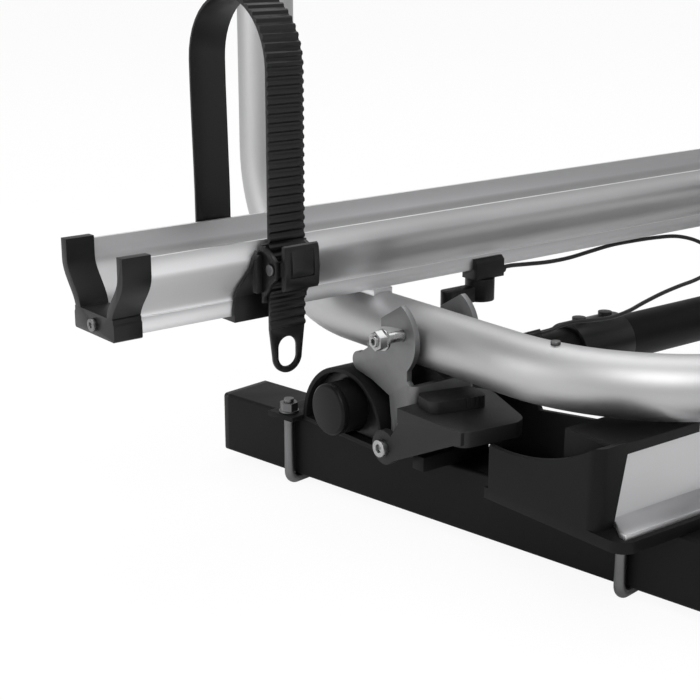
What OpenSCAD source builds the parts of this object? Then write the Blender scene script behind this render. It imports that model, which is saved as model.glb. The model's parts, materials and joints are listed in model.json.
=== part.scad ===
// Tilting bike carrier for a caravan's front frame: two base beams carry a rear cross tube and a front
// profile, and a hoop of round tube with a wheel rail tilts forward once a foot pedal frees its latch.
// X runs along the wheel rail, Y points back towards the caravan, Z is up. Left is the side with the pedal.

/* [Base beams] */
// Width and height of the square base beams
beam_w = 50; // [40:1:60]
// Wall of the base beams
beam_wall = 3; // [2:0.5:4]
// Length of a beam in front of the rear cross tube
beam_front = 400; // [350:5:500]
// Length of a beam behind the rear cross tube
beam_rear = 150; // [120:5:220]
// Angle at which the beams draw together towards the front
beam_angle = 9.3; // [5:0.1:12]
// Diameter of the bolt holes in the beams' undersides
mount_bolt_d = 10.5; // [8.5:0.5:13]
// Distance of each bolt hole from the beam's end
mount_inset = 40; // [30:1:60]

/* [U-bolts] */
// Rod diameter of the U-bolts
ubolt_d = 8; // [6:1:10]
// Distance of the rear U-bolt behind the cross tube, along the beam
ubolt_rear = 73; // [70:1:95]
// Distance of the front U-bolt in front of the cross tube, along the beam
ubolt_front = 241; // [236:1:246]

/* [Rear cross tube] */
// Diameter of the rear cross tube
cross_d = 40; // [34:1:42]
// Wall of the rear cross tube
cross_wall = 2.5; // [2:0.5:4]
// Distance of the cross tube in front of the wheel rail's centre
cross_ahead = 27; // [22:1:32]
// Length of the cross tube beyond each leg, with its end cap
cross_over = 54; // [45:1:80]
// Height of the saddle arches above the beams
arch_h = 55; // [53:1:60]
// Outer radius of the saddle arches at the rear
arch_r = 53; // [50:1:54]
// Outer radius of the saddle arches at the front, beside the latch
arch_front_r = 46; // [44:0.5:46]
// Thickness of the saddle arches and their plates
arch_t = 4; // [3:0.5:5]
// Width of the saddle arches
arch_w = 76; // [50:1:76]

/* [Hoop frame] */
// Diameter of the hoop's tube
hoop_d = 45; // [40:1:48]
// Wall of the hoop's tube
hoop_wall = 2.5; // [2:0.5:4]
// Half the distance between the hoop's legs, centre to centre
leg_x = 385; // [360:5:420]
// Distance of the uprights behind the wheel rail's centre
upright_back = 125; // [120:1:150]
// Distance of the tilt axis in front of the wheel rail's centre
tilt_ahead = 312; // [305:1:330]
// Height of the top bar's axis above the legs' axis
hoop_h = 700; // [600:10:800]
// Bend radius at the foot and the top of the uprights
rear_bend_r = 115; // [100:1:120]
// Bend radius of the hoop's front corners
front_bend_r = 142; // [130:1:150]
// Height of the rubber buffers under the legs
buffer_h = 8.8; // [7:0.1:12]

/* [Wheel rail] */
// Length of the wheel rail
rail_len = 1230; // [1150:10:1400]
// Width over the rail's top edges
rail_top_w = 80; // [74:1:86]
// Width over the rail's foot
rail_foot_w = 46; // [42:1:50]
// Height of the rail
rail_h = 56; // [52:1:60]
// Wall of the rail
rail_t = 2.5; // [2:0.1:3]
// Height of the rail's foot
foot_h = 11; // [10:0.5:13]
// Gap between the rail's foot and the legs, filled by the rail seats
seat_gap = 3; // [2:0.5:5]
// Distance of each wheel strap from the rail's end
strap_inset = 125; // [110:5:200]
// Skin of the rail's end caps
cap_skin = 2.4; // [2:0.1:3]
// Length of the rail's end caps
cap_len = 22; // [18:1:35]

/* [Wheel straps] */
// Width of the wheel straps
strap_w = 30; // [26:1:32]
// Thickness of a strap without its teeth
strap_t = 2; // [1.5:0.1:2.2]
// Height of a strap's teeth
tooth_h = 1.5; // [1:0.1:1.6]
// Distance from tooth to tooth
tooth_pitch = 6.3; // [6:0.1:8]
// Half the width of a strap's arch over the wheel
strap_arch_r = 48; // [46:1:60]
// Height of a strap's arch above the rail
strap_arch_h = 165; // [150:5:220]
// Half the width of a buckle between its cheeks
buckle_half = 16; // [15:0.5:18]

/* [Latch] */
// Distance of the latch pivot in front of the wheel rail's centre
pivot_ahead = 85; // [84:0.5:87]
// Height of the latch pivot above the beams
pivot_h = 10.6; // [10.4:0.1:12]
// Diameter of the latch pivot bolt
pivot_d = 8; // [6:0.5:8]
// Height of the cross pin above the latch pivot
pin_up = 83; // [82:0.5:84]
// Diameter of the cross pin through the left leg
pin_d = 8; // [7:0.5:9]
// Thickness of the hook's plates
hook_t = 4.5; // [4:0.1:5]
// Half the distance between the hook's plates
hook_half = 26.5; // [26:0.1:28]
// Width of the foot pedal
pedal_w = 66; // [62:1:70]

/* [Front profile] */
// Height of the front cross profile
profile_h = 52; // [46:1:53]
// Depth of the front cross profile
profile_depth = 42; // [40:1:45]
// Wall of the front cross profile
profile_t = 4; // [3:0.5:4]
// Width of the ledge along the profile's front
profile_lip = 24; // [16:1:24]
// Thickness of the brackets' floors, which lift the profile off the beams
bracket_floor = 8; // [6:0.5:9]
// Distance of the brackets' outer walls from the legs' axes
bracket_out = 36; // [34:1:38]
// Distance of each bearing's inner face beyond the front bend
bearing_gap = 10; // [8:1:20]
// Width of the bearings
bearing_w = 40; // [30:1:50]

/* [Bike arm] */
// Distance of the arm's collar from the middle of the top bar
arm_x = 60; // [40:5:120]
// Length of the arm from the top bar to the jaws
arm_len = 120; // [100:5:160]
// Diameter of the arm's tube
arm_d = 28; // [25:1:30]

/* [Restraint cable] */
// Diameter of the coated restraint cable
cable_d = 3.5; // [3:0.1:4]

/* [Hidden] */
$fn = 48;
// Running clearance of a shaft in its bore, on the radius
run_fit = 0.06;
// Gap between neighbours that only lie beside each other
side_gap = 0.3;
// Overlap that joins the shapes of one piece, and the overshoot of cuts
lap = 0.5;

plug_t = 5;
cap_t = 6;
corner_r = 3;
nut_h = 6.5;
washer_t = 1.6;

collar_r = hoop_d / 2 + 7;
collar_ear = 18;

beam_z = ubolt_d;
beam_top = beam_z + beam_w;
beam_reach = cross_ahead + (beam_front + plug_t) * cos(beam_angle) + beam_w / 2 * sin(beam_angle);
// The origin lies under the middle of the whole carrier, seen from above
rail_y = (beam_reach - upright_back - collar_r - collar_ear) / 2;
cross_y = rail_y - cross_ahead;
upright_y = rail_y + upright_back;
tilt_y = rail_y - tilt_ahead;
seat_h = 5.5;
cross_z = beam_top + seat_h + cross_d / 2;
arch_top = beam_top + arch_h;
hoop_z = arch_top + buffer_h + side_gap + hoop_d / 2;
top_z = hoop_z + hoop_h;
rail_z = hoop_z + hoop_d / 2 + seat_gap;
rail_top = rail_z + rail_h;
pivot_y = rail_y - pivot_ahead;
pivot_z = beam_top + pivot_h;
// The cross pin lies a little in front of the latch pivot
pin_ahead = 2;
pin_y = pivot_y - pin_ahead;
pin_z = pivot_z + pin_up;
ubolt_x = beam_w / 2 + 1 + ubolt_d / 2;
ubolt_bend = 7;
profile_y = tilt_y + 29.5;
bracket_t = 4;
cheek_w = 17;
cheek_slant = 10;
profile_z = beam_top + bracket_floor;
profile_top = profile_z + profile_h;
bearing_x = leg_x - front_bend_r - bearing_gap - bearing_w / 2;
strap_x = rail_len / 2 - strap_inset;
anchor_x = 137 - leg_x;
anchor_d = 6;
// Layers outside the rail's wall, from the holder out to the lever's pivot
holder_t = 3.8;
band_y = rail_top_w / 2 + holder_t + 4;
lever_y = band_y + 9;
lever_z = rail_z + 38;
pedal_left = leg_x + 46;

module on_side(side) {
    mirror([side > 0 ? 1 : 0, 0, 0]) children();
}

// The left beam's own frame: its axis along Y, its underside at zero, the cross tube's place at the origin
module on_beam() {
    translate([-leg_x, cross_y, beam_z]) rotate([0, 0, beam_angle]) children();
}

// Extrudes a drawing of Y and Z along X, about the middle
module along_x(len) {
    rotate([90, 0, 90]) linear_extrude(len, center = true) children();
}

module tube_x(len, d, wall) {
    along_x(len) difference() {
        circle(d = d);
        circle(d = d - 2 * wall);
    }
}

module rod_x(len, d) {
    along_x(len) circle(d = d);
}

// Square with its corners rounded by true arcs
module soft_square(w, h, r) {
    square([w - 2 * r, h], center = true);
    square([w, h - 2 * r], center = true);
    for (x = [-1, 1], y = [-1, 1])
        translate([x * (w / 2 - r), y * (h / 2 - r)]) circle(r);
}

module hex_nut(d, h) {
    difference() {
        cylinder(d = d * 1.85, h = h, $fn = 6);
        translate([0, 0, -1]) cylinder(d = d + 0.1, h = h + 2);
    }
}

module base_beam(side) {
    color("#1b1b1c") on_side(side) on_beam() difference() {
        translate([0, beam_rear, beam_w / 2]) rotate([90, 0, 0])
            linear_extrude(beam_front + beam_rear) difference() {
                soft_square(beam_w, beam_w, corner_r);
                soft_square(beam_w - 2 * beam_wall, beam_w - 2 * beam_wall, 1);
            }
        for (y = [mount_inset - beam_front, beam_rear - mount_inset])
            translate([0, y, -1]) cylinder(d = mount_bolt_d, h = beam_wall + 2);
    }
}

module beam_plugs() {
    inner = beam_w - 2 * beam_wall - 0.4;
    color("#222223") for (side = [-1, 1], end = [0, 1]) on_side(side) on_beam()
        translate([0, end ? beam_rear : -beam_front, beam_w / 2]) mirror([0, end ? 0 : 1, 0]) {
            rotate([-90, 0, 0]) linear_extrude(plug_t) soft_square(beam_w, beam_w, corner_r);
            rotate([90, 0, 0]) linear_extrude(18) soft_square(inner, inner, 2);
        }
}

module rear_cross_tube() {
    color("#1d1d1e") translate([0, cross_y, cross_z]) difference() {
        tube_x(2 * (leg_x + cross_over - cap_t), cross_d, cross_wall);
        translate([anchor_x, 0, 0]) cylinder(d = anchor_d + 0.1, h = cross_d);
    }
}

module cross_tube_caps() {
    rim = 1.5;
    color("#262627") for (side = [-1, 1]) on_side(side)
        translate([-leg_x - cross_over, cross_y, cross_z]) rotate([0, 90, 0]) {
            cylinder(d1 = cross_d - 2 * rim, d2 = cross_d, h = rim);
            translate([0, 0, rim]) cylinder(d = cross_d, h = cap_t - rim);
            translate([0, 0, cap_t]) cylinder(d = cross_d - 2 * cross_wall - 0.4, h = 15);
        }
}

// Half an arch of radius r on legs, from the beam's top to height h, towards +Y for way = 1
module half_arch(r, h, way) {
    mirror([way > 0 ? 0 : 1, 0]) intersection() {
        union() {
            translate([0, h - r]) circle(r);
            square([r, h - r]);
        }
        square([r, h]);
    }
}

// Outline of the saddle's arch, thinner by an amount all round and cut off at a height above the beam
module arch_outline(less, floor_h) {
    intersection() {
        union() {
            half_arch(arch_r - less, arch_h - less, 1);
            half_arch(arch_front_r - less, arch_h - less, -1);
        }
        translate([-arch_r, floor_h]) square([2 * arch_r, arch_h]);
    }
}

module tube_cradles() {
    color("#2a2a2b") for (side = [-1, 1]) on_side(side)
        translate([-leg_x, cross_y, beam_top]) along_x(arch_w - 14) difference() {
            arch_outline(arch_t + 0.2, arch_t);
            translate([0, seat_h + cross_d / 2]) circle(d = cross_d + 0.1);
        }
}

module saddle(side) {
    tab = 2 * (ubolt_x + 10);
    color("#202021") on_side(side) {
        translate([-leg_x, cross_y, beam_top]) along_x(arch_w) difference() {
            arch_outline(0, 0);
            arch_outline(arch_t, arch_t);
        }
        difference() {
            on_beam() translate([0, 0, beam_w]) difference() {
                union() {
                    translate([-beam_w / 2, 0, 0]) cube([beam_w, ubolt_rear, arch_t]);
                    translate([-tab / 2, ubolt_rear - 14, 0]) cube([tab, 28, arch_t]);
                }
                for (x = [-1, 1])
                    translate([x * ubolt_x, ubolt_rear, -1]) cylinder(d = ubolt_d + 1, h = arch_t + 2);
            }
            translate([-leg_x - arch_w, cross_y - arch_r, beam_top - 1])
                cube([2 * arch_w, 2 * arch_r - arch_t / 2, arch_t + 2]);
        }
    }
}

module rest_buffers() {
    color("#141414") for (x = [-1, 1])
        translate([x * leg_x, cross_y, arch_top]) {
            cylinder(d = 30, h = buffer_h / 2);
            cylinder(d = 24, h = buffer_h);
        }
}

// A square U-bolt round the beam, its legs reaching a height above the beam
module u_bolt(rise) {
    run = ubolt_x - ubolt_bend;
    translate([0, 0, -ubolt_d / 2]) {
        rod_x(2 * run, ubolt_d);
        for (side = [0, 1]) mirror([side, 0, 0]) {
            translate([run, 0, ubolt_bend]) rotate([90, 0, 0])
                rotate_extrude(angle = -90) translate([ubolt_bend, 0]) circle(d = ubolt_d);
            translate([ubolt_x, 0, ubolt_bend])
                cylinder(d = ubolt_d, h = beam_w + ubolt_d / 2 - ubolt_bend + rise);
        }
    }
}

// Places of the U-bolts along a beam, with the thickness of the sheet that each one clamps
ubolt_places = [[ubolt_rear, arch_t], [-ubolt_front, bracket_floor]];

module u_bolts() {
    color("#8d8f91") for (side = [-1, 1], p = ubolt_places) on_side(side) on_beam()
        translate([0, p[0], 0]) u_bolt(p[1] + washer_t + nut_h + 3);
}

module u_bolt_nuts() {
    color("#a0a2a4") for (side = [-1, 1], p = ubolt_places, x = [-1, 1]) on_side(side) on_beam()
        translate([x * ubolt_x, p[0], beam_w + p[1]]) {
            difference() {
                cylinder(d = 2 * ubolt_d, h = washer_t);
                translate([0, 0, -1]) cylinder(d = ubolt_d + 0.1, h = washer_t + 2);
            }
            translate([0, 0, washer_t]) hex_nut(ubolt_d, nut_h);
        }
}

// Moulded sleeve round the cross tube, to the right of the left leg
module tube_sleeve() {
    sleeve_w = 60;
    sleeve_t = 5;
    color("#232324") translate([sleeve_w / 2 + 202 - leg_x, cross_y, cross_z]) {
        tube_x(sleeve_w, cross_d + 2 * sleeve_t, sleeve_t - 0.05);
        translate([0, 0, cross_d / 2 + sleeve_t - lap]) for (x = [-16, 16])
            translate([x, 0, 0]) cylinder(d = 12, h = 3 + lap);
    }
}

// C section, open to the rear, its front face at zero
module profile_section() {
    difference() {
        square([profile_depth, profile_h]);
        translate([profile_t, profile_t])
            square([profile_depth, profile_h - 2 * profile_t]);
    }
}

module ubolt_holes(y, h) {
    for (side = [-1, 1], x = [-1, 1]) on_side(side) on_beam()
        translate([x * ubolt_x, y, h]) cylinder(d = 17, h = bracket_floor + profile_t + 1);
}

// The profile ends behind the brackets' cheeks, and its ledge is cut to a slant beside them
module front_profile() {
    half = leg_x + bracket_out - cheek_w - 4;
    ledge_end = [[3, 1], [3, -bracket_t - 1], [13, 6 - profile_lip], [14, -profile_lip]];
    color("#b9bbbd") difference() {
        translate([0, profile_y, profile_z]) {
            along_x(2 * half) profile_section();
            linear_extrude(profile_t) polygon(concat(
                [for (p = ledge_end) [-half - p[0], p[1]]],
                [for (i = [3:-1:0]) [half + ledge_end[i][0], ledge_end[i][1]]]));
        }
        ubolt_holes(-ubolt_front, beam_w - 1);
    }
}

// Open box of bent sheet round the profile's end: a floor on the beam, an outer wall with a concave edge that
// bends round to a cheek before the profile, an inner wall behind the profile and a cover over it
module front_bracket(side) {
    out = -leg_x - bracket_out;
    front = profile_y - side_gap - bracket_t;
    depth = profile_depth + bracket_t + side_gap;
    cover = 3;
    wall_h = profile_top + cover + 1 - beam_top;
    bend = 9;
    wall_len = 100;
    inner_from = depth + side_gap;
    inner_to = 132;
    color("#1a1a1b") on_side(side) difference() {
        union() {
            translate([out, front - profile_lip, beam_top]) linear_extrude(bracket_floor) difference() {
                square([bracket_out + 84, profile_lip + inner_to]);
                difference() {
                    square(12);
                    translate([12, 12]) circle(12);
                }
            }
            translate([out, front, beam_top]) linear_extrude(wall_h) {
                translate([0, bend]) square([bracket_t, wall_len - bend]);
                translate([bend, 0]) square([cheek_w + cheek_slant - bend, bracket_t]);
                intersection() {
                    difference() {
                        translate([bend, bend]) circle(bend);
                        translate([bend, bend]) circle(bend - bracket_t);
                    }
                    square(bend);
                }
            }
            translate([-leg_x + 42, front, beam_top]) along_x(bracket_t)
                polygon([[inner_from, 0], [inner_to + 54, 0], [inner_to + 54, 40], [inner_to + 48, 46],
                    [inner_to, 46], [inner_to - 3, 41], [inner_to - 14, 42.5], [inner_from, wall_h - 12]]);
            translate([out + cheek_w, front, profile_top]) cube([80, depth, cover]);
            translate([out + cheek_w, profile_y + 1.5, beam_top]) cube([3.5, profile_depth - 1.5, wall_h - 2]);
            translate([out + cheek_w, front, profile_top - 4]) cube([80, bracket_t, 4 + cover]);
        }
        translate([out - 1, -54, beam_top - 1]) cube([bracket_out + 41, 80, bracket_floor + 2]);
        translate([out + bracket_t, front + 88, beam_top + 192]) rod_x(20, 306);
        translate([out, front + bracket_t + 1, beam_top]) rotate([90, 0, 0]) linear_extrude(bracket_t + 2)
            polygon([[cheek_w, bracket_floor], [cheek_w + cheek_slant, profile_top - beam_top - 4],
                [cheek_w + 100, profile_top - beam_top - 4], [cheek_w + 100, bracket_floor]]);
        on_beam() for (x = [-1, 1])
            translate([x * ubolt_x, -ubolt_front, beam_w - 1]) cylinder(d = ubolt_d + 1, h = bracket_floor + 2);
    }
}

// Half a bearing shell with bolt ears, drawn about the tilt axis for the upper half
module bearing_half_section() {
    ear = hoop_d / 2 + 22;
    difference() {
        union() {
            circle(hoop_d / 2 + 7);
            translate([-ear, 0]) square([2 * ear, 8]);
        }
        circle(hoop_d / 2 + run_fit);
        translate([-2 * ear, -2 * ear]) square([4 * ear, 2 * ear]);
    }
}

bearing_bolt_y = hoop_d / 2 + 14.5;

module bearing_bolt_holes() {
    for (y = [-1, 1], x = [-1, 1])
        translate([x * bearing_w / 4, y * bearing_bolt_y, -20]) cylinder(d = 6.4, h = 40);
}

module bearing_caps() {
    color("#252526") for (x = [-1, 1]) translate([x * bearing_x, tilt_y, hoop_z]) difference() {
        along_x(bearing_w) bearing_half_section();
        bearing_bolt_holes();
    }
}

module bearing_blocks() {
    drop = hoop_z - profile_top;
    color("#252526") for (x = [-1, 1]) translate([x * bearing_x, tilt_y, hoop_z]) difference() {
        along_x(bearing_w) {
            mirror([0, 1]) difference() {
                bearing_half_section();
                translate([-50, drop]) square([100, 50]);
            }
            translate([hoop_d / 2 + 7.5, -drop]) square([30, 10]);
            translate([hoop_d / 2 + 3, -drop]) square([19, drop]);
        }
        bearing_bolt_holes();
    }
}

module bearing_bolts() {
    color("#a8aaac") for (x = [-1, 1], sx = [-1, 1], y = [-1, 1])
        translate([x * bearing_x + sx * bearing_w / 4, tilt_y + y * bearing_bolt_y, hoop_z]) {
            translate([0, 0, -8]) cylinder(d = 6, h = 17);
            translate([0, 0, 8]) cylinder(d = 10, h = 5);
        }
}

// Folded sheet on the left beam: floor, ears for the pivot, a bar across and a strip along the beam
module latch_base() {
    ear_in = hook_half - 1 - 5;
    bar_z = pivot_h + 0.4;
    bar_y = pivot_y - 36;
    color("#39393b") {
        difference() {
            union() {
                translate([-leg_x - ear_in - 5, bar_y, beam_top]) cube([2 * ear_in + 10, 45, 3]);
                translate([-leg_x - 38, bar_y, beam_top]) cube([64, 12, bar_z]);
                for (x = [-1, 1]) translate([-leg_x + x * (ear_in + 2.5), pivot_y, 0]) {
                    translate([0, 0, pivot_z]) rod_x(5, 18);
                    translate([-2.5, -9, beam_top]) cube([5, 18, pivot_h]);
                }
            }
            translate([-leg_x, pivot_y, pivot_z]) rod_x(120, pivot_d + 0.2);
        }
    }
}

module latch_pivot_bolt() {
    head_h = 5;
    color("#c9cbcd") translate([-leg_x, pivot_y, pivot_z]) rotate([0, 90, 0]) difference() {
        union() {
            translate([0, 0, -46 - head_h]) cylinder(d = 13, h = head_h);
            translate([0, 0, -46 - lap]) cylinder(d = pivot_d, h = 46 + lap + hook_half + hook_t + 9);
        }
        translate([0, 0, -46 - head_h - 1]) cylinder(d = 7, h = 4, $fn = 6);
    }
}

module latch_pivot_nut() {
    color("#a8aaac") translate([-leg_x + hook_half + hook_t + side_gap, pivot_y, pivot_z])
        rotate([0, 90, 0]) hex_nut(pivot_d, nut_h);
}

// Tube along a list of points, as rings that face along the path
function unit(v) = v / norm(v);
function along(p, i) = unit(p[min(i + 1, len(p) - 1)] - p[max(i - 1, 0)]);
function aside(d, ref) = unit(cross(d, ref));
function ring(c, d, ref, r, n) = [for (k = [0:n - 1])
    c + r * cos(360 * k / n) * aside(d, ref) + r * sin(360 * k / n) * cross(d, aside(d, ref))];

module swept(p, d, ref, n) {
    rings = [for (i = [0:len(p) - 1]) each ring(p[i], along(p, i), ref, d / 2, n)];
    last = len(p) - 1;
    sides = [for (i = [0:last - 1], k = [0:n - 1], half = [0, 1])
        half ? [i * n + k, (i + 1) * n + (k + 1) % n, (i + 1) * n + k]
             : [i * n + k, i * n + (k + 1) % n, (i + 1) * n + (k + 1) % n]];
    ends = [for (k = [1:n - 2]) each [[0, k + 1, k], [last * n, last * n + k, last * n + k + 1]]];
    polyhedron(points = rings, faces = concat(sides, ends), convexity = 6);
}

// Torsion spring round the pivot, its legs on the floor and behind the hook's web
module latch_spring() {
    wire = 2;
    turns = 5;
    coil_r = pivot_d / 2 + 2;
    steps = 8;
    pitch = 2.6;
    coil = [for (i = [0:turns * steps])
        [pitch * i / steps, -coil_r * sin(360 * i / steps), -coil_r * cos(360 * i / steps)]];
    quarter_back = 6;
    end_x = pitch * (turns * steps - quarter_back) / steps;
    foot = [[-0.6, 11, -coil_r], [-0.5, 9, -coil_r], [-0.3, 6, -coil_r], [-0.2, 3, -coil_r]];
    arm = [[end_x + 0.6, -8, 2], [end_x + 1, -12, 8], [end_x + 1, -17, 12], [end_x + 1, -22, 18],
        [end_x + 1, -24, 24], [end_x + 1, -25, pedal_top - 3 - wire / 2 - side_gap]];
    coil_part = [for (i = [0:turns * steps - quarter_back]) coil[i]];
    color("#9a9c9e") translate([-leg_x - 8, pivot_y, pivot_z])
        swept(concat(foot, coil_part, arm), wire, [1, 0, 0.001], 6);
}

// Distance of the cross pin from the latch pivot, and the slot round it with its clearance
pin_arm = norm([pin_ahead, pin_up]);
slot_edge = pin_d / 2 + 0.4;

// Slot for the cross pin, round the pivot's axis, open to the rear
module pin_slot() {
    translate([-pin_ahead, pin_up]) circle(slot_edge);
    intersection() {
        difference() {
            circle(pin_arm + slot_edge, $fn = 96);
            circle(pin_arm - slot_edge, $fn = 96);
        }
        translate([-pin_ahead, 0]) square([2 * pin_arm, 2 * pin_arm]);
    }
}

// Front face of the hook's web, seen from the pivot
web_front = -15;
web_top = 46.5;

// Side view of a hook plate about the pivot, rear to the right: a round head over the pin, a lower lobe
// that guides the pin into its slot, and a neck down to the pivot
module hook_outline() {
    lobe_r = 7.4;
    lobe_at = (pin_arm - slot_edge - lobe_r) * [cos(47), sin(47)];
    difference() {
        union() {
            translate([12, pin_up - 4.5]) circle(29);
            translate(lobe_at) circle(lobe_r);
            circle(9.5);
            polygon([[-9.5, 0], [9.5, 0], [9.5, 16], [12, 34], [31.7, 41.1], [49, 44.5], [50, 57], [30, 70],
                [0, 76], [-8, 62], [-8, web_top + 3], [-11, web_top], [web_front, web_top],
                [web_front, 14]]);
        }
        pin_slot();
        translate([23, pin_up + 7.5]) rotate(-31) translate([-50, 0]) square([100, 50]);
        difference() {
            translate([22, 40]) square(80);
            circle(pin_arm);
        }
        circle(pivot_d / 2 + run_fit);
    }
}

module latch_hook() {
    web_low = 14;
    half = hook_half + hook_t;
    bend = 7;
    color("#9b9da0") translate([-leg_x, pivot_y, pivot_z]) difference() {
        union() {
            for (x = [-1, 1]) translate([x * (hook_half + hook_t / 2), 0, 0])
                along_x(hook_t) hook_outline();
            translate([-hook_half - lap, web_front, web_low])
                cube([2 * (hook_half + lap), hook_t, web_top - web_low]);
        }
        for (side = [0, 1]) mirror([side, 0, 0]) translate([-half, web_front, -12])
            linear_extrude(web_top + 12.2) difference() {
                translate([-1, -1]) square(bend + 1);
                translate([bend, bend]) circle(bend);
            }
    }
}

// Side view of the pedal's near cheek about the pivot
pedal_top = 34.4;
pedal_low = 23;
module pedal_cheek() {
    circle(13);
    polygon([[-8, 10.2], [-23, pedal_top - 1], [-26, pedal_top], [-84, pedal_top], [-84, pedal_low + 2],
        [-76, pedal_low], [-10, -8.2]]);
}

// Plan of the pedal from the left leg's centre, narrowing to the front, its edge moved in by an amount
module pedal_plan(less) {
    near = -46 + less;
    far = pedal_w - 30 - less;
    rear = web_front - side_gap - less;
    tip = far - 24;
    polygon([[near, rear], [near, -78 + less], [near + 1.2, -82 + less], [near + 4, -85 + less], [near + 8, -86.3 + less],
        [tip - 15, -90.5 + less], [tip - 9, -90.2 + less], [tip - 4, -88 + less], [tip, -84.4 + less],
        [tip + 2.6, -80 + less], [far - 1.6, -32 + less], [far, -26 + less], [far - 1, -20], [far - 4, rear]]);
}

module foot_pedal() {
    left = -pedal_left;
    wall = 3;
    boss_end = hook_half + hook_t + side_gap;
    color("#2b2b2c") translate([0, pivot_y, pivot_z]) difference() {
        union() {
            translate([left + wall, 0, 0]) along_x(2 * wall) pedal_cheek();
            translate([-leg_x - (46 + boss_end) / 2, 0, 0]) rod_x(46 - boss_end, 19);
            translate([-leg_x, 0, pedal_low]) linear_extrude(pedal_top - pedal_low) difference() {
                pedal_plan(0);
                pedal_plan(wall);
            }
            translate([-leg_x, 0, pedal_top - wall]) linear_extrude(wall) pedal_plan(0);
        }
        rod_x(2 * leg_x + 200, pivot_d + 2 * run_fit);
    }
}

module pedal_pad() {
    ribs = 5;
    color("#1c1c1d") translate([-leg_x - 12, pivot_y - 36, pivot_z + pedal_top]) rotate([0, 0, -14])
        difference() {
            linear_extrude(9) soft_square(46, 26, 7);
            for (i = [0:ribs - 1])
                translate([4 + 3.6 * i, -14, 1.5]) cube([1.4, 2, 10]);
        }
}

module hoop_leg(side) {
    len = tilt_ahead - front_bend_r + upright_back - rear_bend_r;
    mid = (tilt_y + front_bend_r + upright_y - rear_bend_r) / 2;
    pin_hole = side < 0 ? 1 : 0;
    color("#c3c5c7") difference() {
        translate([side * leg_x, mid, hoop_z]) rotate([0, 0, 90]) tube_x(len, hoop_d, hoop_wall);
        translate([side * leg_x, rail_y, hoop_z]) cylinder(d = 8.4, h = hoop_d);
        if (pin_hole)
            translate([side * leg_x, pin_y, pin_z]) rod_x(hoop_d + 10, pin_d + 0.1);
    }
}

// Quarter bend in the plane of X and Y, from the leg's end at the origin round towards +X and -Y
module quarter_bend(r) {
    rotate_extrude(angle = 90) translate([r, 0]) difference() {
        circle(d = hoop_d);
        circle(d = hoop_d - 2 * hoop_wall);
    }
}

module hoop_front_bends() {
    color("#c3c5c7") for (side = [-1, 1]) on_side(side)
        translate([-leg_x + front_bend_r, tilt_y + front_bend_r, hoop_z]) rotate([0, 0, 180])
            quarter_bend(front_bend_r);
}

module hoop_front_tube() {
    color("#c3c5c7") translate([0, tilt_y, hoop_z])
        tube_x(2 * (leg_x - front_bend_r), hoop_d, hoop_wall);
}

module hoop_rear_bends() {
    color("#c3c5c7") for (x = [-1, 1])
        translate([x * leg_x, upright_y - rear_bend_r, hoop_z + rear_bend_r])
            rotate([90, 0, 90]) rotate([0, 0, -90]) quarter_bend(rear_bend_r);
}

module hoop_uprights() {
    color("#c3c5c7") for (x = [-1, 1])
        translate([x * leg_x, upright_y, hoop_z + rear_bend_r])
            linear_extrude(hoop_h - 2 * rear_bend_r) difference() {
                circle(d = hoop_d);
                circle(d = hoop_d - 2 * hoop_wall);
            }
}

module hoop_top_bends() {
    color("#c3c5c7") for (side = [-1, 1]) on_side(side)
        translate([-leg_x + rear_bend_r, upright_y, top_z - rear_bend_r]) rotate([90, 0, 0])
            rotate([0, 0, 90]) quarter_bend(rear_bend_r);
}

module hoop_top_bar() {
    color("#c3c5c7") translate([0, upright_y, top_z])
        tube_x(2 * (leg_x - rear_bend_r), hoop_d, hoop_wall);
}

module cross_pin() {
    color("#d2d4d6") translate([-leg_x, pin_y, pin_z]) rotate([0, 90, 0]) difference() {
        union() {
            translate([0, 0, -58]) cylinder(d = pin_d, h = 92);
            translate([0, 0, 33]) cylinder(d = 13, h = 4);
        }
        translate([0, 0, -59]) cylinder(d = 5, h = 5, $fn = 6);
    }
}

module cross_pin_nut() {
    color("#b4b6b8") translate([-leg_x - 56, pin_y, pin_z]) rotate([0, 90, 0]) {
        hex_nut(pin_d, nut_h);
        translate([0, 0, nut_h]) difference() {
            cylinder(d = 2 * pin_d, h = 1.6);
            translate([0, 0, -1]) cylinder(d = pin_d + 0.1, h = 4);
        }
    }
}

// Half the rail's width at a height above its foot, outside the wall
function wall_at(h) =
    let (low = rail_foot_w / 2, high = rail_top_w / 2, start = foot_h, end = rail_h - 12)
    h < start ? low + 1.2
    : h > end ? high
    : low + (high - low) * (1 - cos(180 * (h - start) / (end - start))) / 2;

// Heights at which the rail's curved wall is drawn
wall_steps = 10;
function wall_heights() = [for (i = [0:wall_steps])
    foot_h + 0.01 + (rail_h - 12.02 - foot_h) * i / wall_steps];

// Right half of the rail's upper outline, from the foot's outer corner up and back down to the floor
rail_half = concat(
    [[wall_at(0), 0], [wall_at(0), foot_h]],
    [for (h = wall_heights()) [wall_at(h), h]],
    [[wall_at(rail_h), rail_h], [wall_at(rail_h) - rail_t, rail_h]],
    [for (i = [wall_steps:-1:0]) let (h = wall_heights()[i]) [wall_at(h) - rail_t, h]]);

module rail_section() {
    leg = wall_at(0) - rail_t;
    half = len(rail_half) - 1;
    polygon(concat(rail_half, [for (i = [half:-1:0]) [-rail_half[i][0], rail_half[i][1]]],
        [[-leg, 0], [-leg, foot_h - rail_t - 1], [1 - leg, foot_h - rail_t], [leg - 1, foot_h - rail_t],
            [leg, foot_h - rail_t - 1], [leg, 0]]));
    difference() {
        translate([0, 5]) circle(4.5);
        translate([0, 5]) circle(2);
    }
}

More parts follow.
